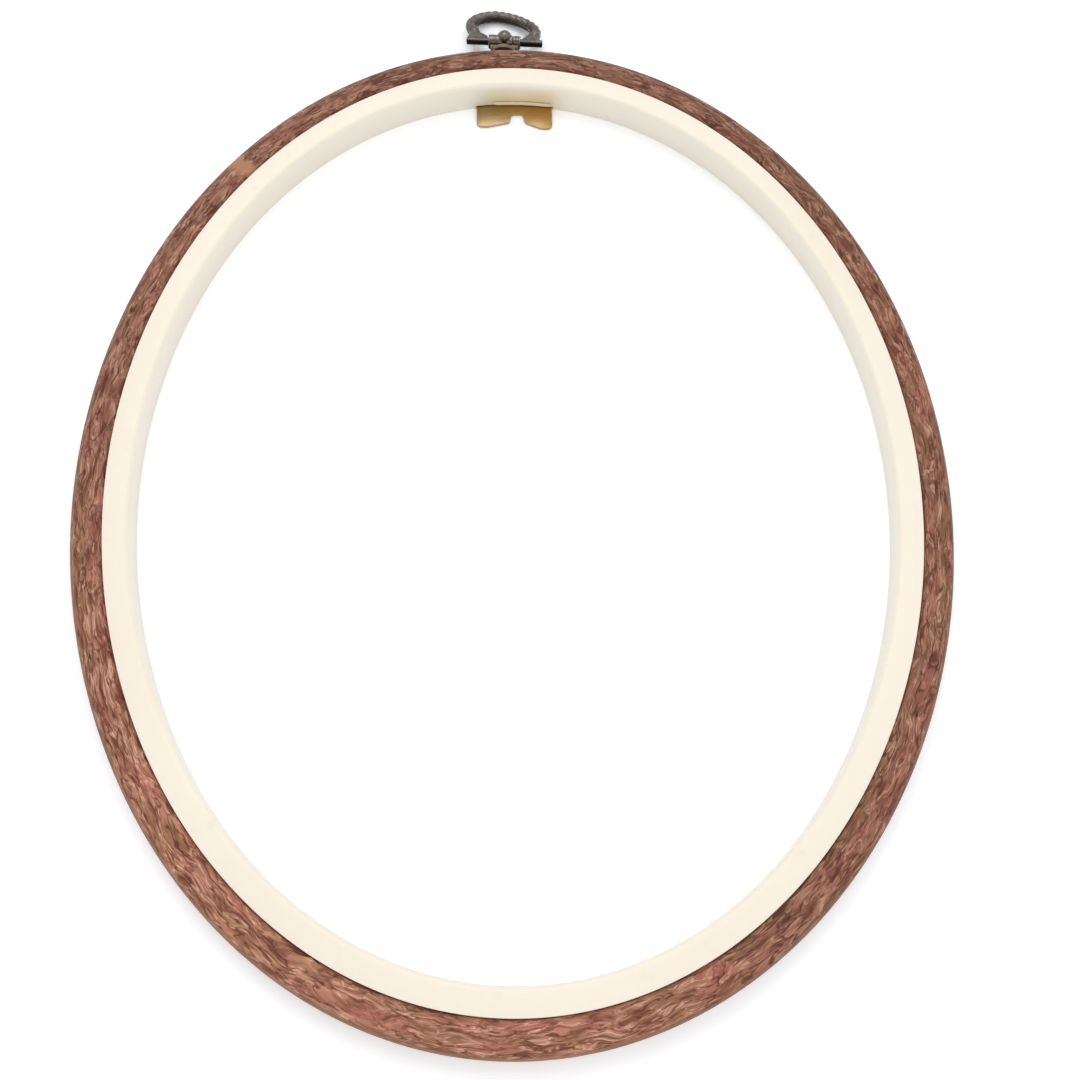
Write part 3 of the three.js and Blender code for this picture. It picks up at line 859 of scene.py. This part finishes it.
def buildLoop(bronze):
    sizes = hangerSizes
    steps, sides = 420, 64
    left, right = [bowAngle(end - sizes["footTaper"]) for end in sizes["bowEnds"]]
    centres = bowPoints(np.linspace(right, math.pi - left, steps))
    heading = np.gradient(centres, axis=0)
    heading /= np.linalg.norm(heading, axis=1, keepdims=True)
    outward = np.column_stack([heading[:, 1], -heading[:, 0], 0 * heading[:, 0]])
    travelled = np.concatenate([[0], np.cumsum(np.linalg.norm(np.diff(centres, axis=0), axis=1))])
    turns = np.arange(sides) * 2 * math.pi / sides
    # Rope strands on the outer side of the bow, fading at its feet, where it thins into the webs
    twist = travelled[:, None] / sizes["ropePitch"] * 2 * math.pi / sizes["ropeStrands"]
    groove = np.abs(np.cos((turns[None, :] + twist) * sizes["ropeStrands"] / 2)) ** 0.8
    outerHalf = np.clip(0.8 + 0.9 * np.cos(turns), 0, 1)[None, :]
    toEnd = np.minimum(travelled, travelled[-1] - travelled)
    fade = np.clip((toEnd - 2 * mm) / (2.5 * mm), 0, 1)[:, None]
    full = sizes["bowRadius"] - 0.02 * mm
    footRadius = 0.85 * sizes["webThickness"] / 2
    radii = footRadius + (full - footRadius) * smoothRise(toEnd, 0, 1.6 * sizes["footTaper"])[:, None]
    radii = radii - sizes["ropeDepth"] * (1 - groove) * outerHalf * fade
    bow = tubeObject("bow", centres, outward, np.tile((0.0, 0.0, 1.0), (steps, 1)), radii)
    half, radius, ease = sizes["barLength"] / 2, sizes["barRadius"], 0.15 * mm
    places = [-half, ease - half, half - ease, half]
    parts = [bow, rodObject("bar", "x", [radius - ease, radius, radius, radius - ease], places)]
    webInner, thick = sizes["barrelLength"] / 2 + fitGap, sizes["webThickness"] / 2
    for index, side in enumerate((-1, 1)):
        angles = np.array([bowAngle(height) for height in (sizes["webJoin"], sizes["webReach"][index])])
        (outerX, outerY), inner = bowPoints(angles if side > 0 else math.pi - angles)[:, :2]
        outline = [(side * webInner, 0), (side * sizes["webFoot"][index], 0),
                   (outerX + side * sizes["webOut"], outerY), tuple(inner),
                   (side * webInner, sizes["webRoot"][index])]
        parts.append(slabObject("web", outline if side > 0 else outline[::-1], -thick, thick))
    piece = castTogether("bronzeLoop", parts, 0.1 * mm, 4)
    droop = math.asin((hingePoint.z - sizes["bowRadius"] - sizes["floorGap"]) / sizes["bowReach"])
    place(piece, hangerFrame @ Matrix.Rotation(-droop, 4, "X"))
    return dress(piece, bronze, "loop", "hanger_loop", 60)


def buildPost(bronze):
    sizes = hangerSizes
    end, radius = sizes["barrelLength"] / 2, boreRadius + sizes["barrelWall"]
    domeRadius = sizes["domeRadius"]
    seam = domeRadius + 0.12 * mm
    deep, step, ease = sizes["seamDepth"], 0.12 * mm, 0.18 * mm
    # The barrel rolls round the bar, with an open seam right of the dome and a fainter one left of it
    profile = [(-end, radius - ease), (ease - end, radius),
               (-seam - 0.2 * mm, radius), (-seam - 0.1 * mm, radius - deep / 2), (-seam, radius),
               (seam - 0.1 * mm, radius), (seam, radius - deep), (seam + 0.18 * mm, radius - deep),
               (seam + 0.28 * mm, radius - step), (end - ease, radius - step), (end, radius - step - ease)]
    barrel = rodObject("barrel", "x", [r for x, r in profile], [x for x, r in profile], 64)
    lift = sizes["domeLift"] * math.sqrt(0.5)
    bands = np.linspace(-math.pi / 2, math.pi / 2, 33)[1:-1]
    dome = rodObject("dome", "y", domeRadius * np.cos(bands), domeRadius * np.sin(bands), 64)
    place(dome, Matrix.Translation((0, lift, lift)))
    standOff = wallPlace + sizes["shoulderStandOff"]
    half, thick = sizes["shoulderWidth"] / 2, sizes["shoulderThickness"] / 2
    taper = end - half
    outline = [(-half, standOff), (half, standOff), (half, -boreRadius - taper), (end, -boreRadius), (end, 0),
               (-end, 0), (-end, -boreRadius), (-half, -boreRadius - taper)]
    shoulder = slabObject("shoulder", outline, -thick, thick)
    place(shoulder, Matrix.Translation((0, 0, -sizes["shankDrop"] / 2)))
    down = Matrix.Translation((0, 0, -sizes["shankDrop"]))
    rivetTop = washerBottom - fitGap
    rivetBottom = rivetTop - sizes["rivetThickness"]
    shankRadius, rivetRadius, rivetEase = sizes["shankRadius"], sizes["rivetRadius"], 0.12 * mm
    shank = rodObject("shank", "y", [shankRadius] * 2, [rivetTop - 0.2 * mm, standOff + shankRadius])
    rivet = rodObject("rivet", "y", [rivetRadius - rivetEase, rivetRadius, rivetRadius],
                      [rivetBottom, rivetBottom + rivetEase, rivetTop])
    parts = [barrel, dome, shoulder, place(shank, down), place(rivet, down)]
    piece = castTogether("bronzePost", parts, 0.1 * mm, 3)
    bore = rodObject("bore", "x", [boreRadius] * 2, [-2 * end, 2 * end], 64)
    combine(piece, "DIFFERENCE", [bore])
    place(piece, hangerFrame)
    return dress(piece, bronze, "outer", "hanger_post", 50)


def buildCup():
    hole = hangerSizes["shankRadius"] + fitGap
    foot = wallPlace + fitGap
    hub, radius, wall = cupSizes["hubRadius"], cupSizes["radius"], cupSizes["wall"]
    lip = foot + cupSizes["depth"]
    turn = lip - cupSizes["rimWidth"]
    soft, full = 0.15 * mm, 0.3 * mm
    corners = [(hole, foot, soft), (hub, foot, soft), (radius, turn, full), (radius, lip, full),
               (radius - wall, lip, full), (radius - wall, turn + wall, soft), (hub, foot + wall, soft),
               (hole, foot + wall, soft)]
    piece = place(turnedObject("cupWasher", softOutline(corners, 5), 96), shankFrame)
    return dress(piece, agedMetalFinish("washerBronze"), "outer", "cup_washer")


def buildBackWasher():
    hole = hangerSizes["shankRadius"] + fitGap
    radius, soft = hangerSizes["backWasherRadius"], 0.06 * mm
    corners = [(hole, washerBottom), (radius, washerBottom), (radius, washerTop), (hole, washerTop)]
    outline = softOutline([(*corner, soft) for corner in corners])
    piece = place(turnedObject("backWasher", outline, 64), shankFrame)
    return dress(piece, agedMetalFinish("washerSteel"), "outer", "back_washer")


def buildNailPlate(gilt):
    plate = nailPlate
    leftFoot, rightFoot = [wallLine - drop for drop in plate["footDrops"]]
    mouth, notch = wallLine - plate["mouthDrop"], wallLine - plate["notchDrop"]
    half, width, middle = plate["halfWidth"], plate["footWidth"], plate["notchOffset"]
    mouthHalf, notchHalf = plate["mouthHalfWidth"], plate["notchHalfWidth"]
    footRound, notchRound = plate["footRound"], plate["notchRound"]
    corners = [(x, y, 0) for x, y in plateSeatEdge(0)]
    corners += [(-half, leftFoot, footRound), (width - half, leftFoot, 0.3 * mm)]
    corners += [(middle - mouthHalf, mouth, 0.2 * mm), (middle - notchHalf, notch, notchRound)]
    corners += [(middle + notchHalf, notch, notchRound), (middle + mouthHalf, mouth, 0.2 * mm)]
    corners += [(half - width, rightFoot, 0.3 * mm), (half, rightFoot, footRound)]
    piece = slabObject("nailPlate", softOutline(corners, 6), plate["bottom"], plate["top"])
    edges = piece.modifiers.new("edges", "BEVEL")
    edges.width = plate["edgeRound"]
    edges.segments = 3
    edges.angle_limit = math.radians(60)
    cutters = []
    top, sink = plate["top"], platePins["headBottom"] + platePins["headThickness"] + 0.15 * mm
    for side in (-1, 1):
        hole = rodObject("hole", "z", [platePins["radius"] + fitGap] * 2, [-top, 2 * top], 32)
        recess = rodObject("recess", "z", [platePins["headRadius"] + fitGap] * 2, [-top, sink], 48)
        cutters += [atPin(hole, side), atPin(recess, side)]
    combine(piece, "DIFFERENCE", cutters)
    return dress(piece, gilt, "inner", "nail_plate", 30)


def buildPlatePin(name, side, gilt):
    headBottom, length = platePins["headBottom"], platePins["length"]
    headTop = headBottom + platePins["headThickness"]
    outer, inner, soft = platePins["headRadius"], platePins["radius"], 0.05 * mm
    piece = rodObject(name, "z", [outer - soft, outer, outer, inner, inner, inner - 3 * soft],
                      [headBottom, headBottom + soft, headTop - soft, headTop, length - 3 * soft, length])
    atPin(piece, side)
    return dress(piece, gilt, "inner", "plate_pin_left" if side < 0 else "plate_pin_right")


# The camera stands where it stood for the photograph, 1080 by 1080 pixels
cameraPlace = {
    "fromCentre": Vector((-2.5, -88.1, 204.3)) * mm,  # of the cream front
    "tilt": 0.3254,  # radians, as are the next two
    "swing": -0.0358,
    "roll": -0.0170,
    "focalPixels": 945.8,
    "imagePixels": 1080,
}


def buildCamera():
    seat = cameraPlace
    data = bpy.data.cameras.new("camera")
    data.sensor_width = 36
    data.lens = data.sensor_width * seat["focalPixels"] / seat["imagePixels"]
    data.clip_start = 0.01
    camera = bpy.data.objects.new("camera", data)
    bpy.context.scene.collection.objects.link(camera)
    stand = Matrix.Translation(Vector((rimCentre.x, rimCentre.y, creamHeight)) + seat["fromCentre"])
    for way, axis in (("swing", "Y"), ("tilt", "X"), ("roll", "Z")):
        stand = stand @ Matrix.Rotation(seat[way], 4, axis)
    camera.matrix_world = stand
    bpy.context.scene.camera = camera


studio = {
    "tableSize": 3.0,
    "roomLight": 0.8,
    "roomFrom": (0, 0.7, 0.71),  # overhead and beyond the hoop
    "mirrored": (0.3, 1.0),  # share of it in the metal: from the viewer's side, and from there
    "lamps": [  # place, size, watts
        ((-0.1, 0.5, 0.85), 0.5, 1.7),
        ((0.5, 0.0, 0.8), 0.5, 0.5),
        ((0.02, -0.3, 0.42), 0.08, 0.12),
    ],
    "tableColour": 0.86,
    "tableShown": (1.2, 1.23, 1.26),  # a little over white, for what looks straight at it
}


def emptyTree(owner):
    # Clears the shader tree and starts it with what looks at it, the camera or a reflection
    owner.use_nodes = True
    tree = owner.node_tree
    tree.nodes.clear()
    return tree, addNode(tree, "ShaderNodeLightPath", None, None, "Is Camera Ray")


def buildStudio():
    half = studio["tableSize"] / 2
    corners = [(-half, -half, 0), (half, -half, 0), (half, half, 0), (-half, half, 0)]
    table = makeObject("table", corners, [range(4)])
    material = bpy.data.materials.new("whiteTable")
    tree, ray = emptyTree(material)
    seen = ray.math("MAXIMUM", ray, ray.output("Is Glossy Ray"))
    plain = addNode(tree, "ShaderNodeBsdfDiffuse", None, {"Color": (*[studio["tableColour"]] * 3, 1)})
    shown = addNode(tree, "ShaderNodeBsdfDiffuse", None, {"Color": (*studio["tableShown"], 1)})
    mixed = addNode(tree, "ShaderNodeMixShader", None, {0: seen, 1: plain, 2: shown})
    output = tree.nodes.new("ShaderNodeOutputMaterial")
    tree.links.new(mixed.socket, output.inputs["Surface"])
    table.data.materials.append(material)

    world = bpy.data.worlds.new("studio")
    bpy.context.scene.world = world
    tree, ray = emptyTree(world)
    way = addNode(tree, "ShaderNodeTexCoord", None, None, "Generated")
    toLight = addNode(tree, "ShaderNodeVectorMath", {"operation": "DOT_PRODUCT"},
                      {0: way, 1: studio["roomFrom"]}, "Value")
    low, high = studio["mirrored"]
    mirrored = addNode(tree, "ShaderNodeMapRange", {"interpolation_type": "SMOOTHSTEP"},
                       {"Value": toLight, "From Min": 0.0, "From Max": 0.8, "To Min": low, "To Max": high})
    direct = ray.math("LESS_THAN", ray.output("Diffuse Depth"), 0.5)
    share = 1 - ray.output("Is Glossy Ray") * direct * (1 - mirrored)
    strength = share * studio["roomLight"]
    lit = addNode(tree, "ShaderNodeBackground", None, {"Color": (1, 1, 1, 1), "Strength": strength})
    white = addNode(tree, "ShaderNodeBackground", None, {"Color": (1, 1, 1, 1), "Strength": 1.0})
    mixed = addNode(tree, "ShaderNodeMixShader", None, {0: ray, 1: lit, 2: white})
    output = tree.nodes.new("ShaderNodeOutputWorld")
    tree.links.new(mixed.socket, output.inputs["Surface"])

    for index, (spot, size, watts) in enumerate(studio["lamps"]):
        data = bpy.data.lights.new(f"softbox{index}", "AREA")
        data.size = size
        data.energy = watts
        lamp = bpy.data.objects.new(f"softbox{index}", data)
        lamp.location = Vector(spot)
        lamp.rotation_euler = (Vector(rimCentre) - lamp.location).to_track_quat("-Z", "Y").to_euler()
        bpy.context.scene.collection.objects.link(lamp)
    bpy.context.scene.view_settings.view_transform = "Standard"


buildCamera()
buildStudio()
print("camera and studio ready")
buildCreamRing()
buildWoodRing()
print("rings ready")
buildLoop(agedMetalFinish("antiqueBronze"))
buildPost(agedMetalFinish("postBronze"))
buildCup()
buildBackWasher()
print("hanger ready")
gilt = giltFinish()
buildNailPlate(gilt)
buildPlatePin("platePinLeft", -1, gilt)
buildPlatePin("platePinRight", 1, gilt)
print("nail plate ready")
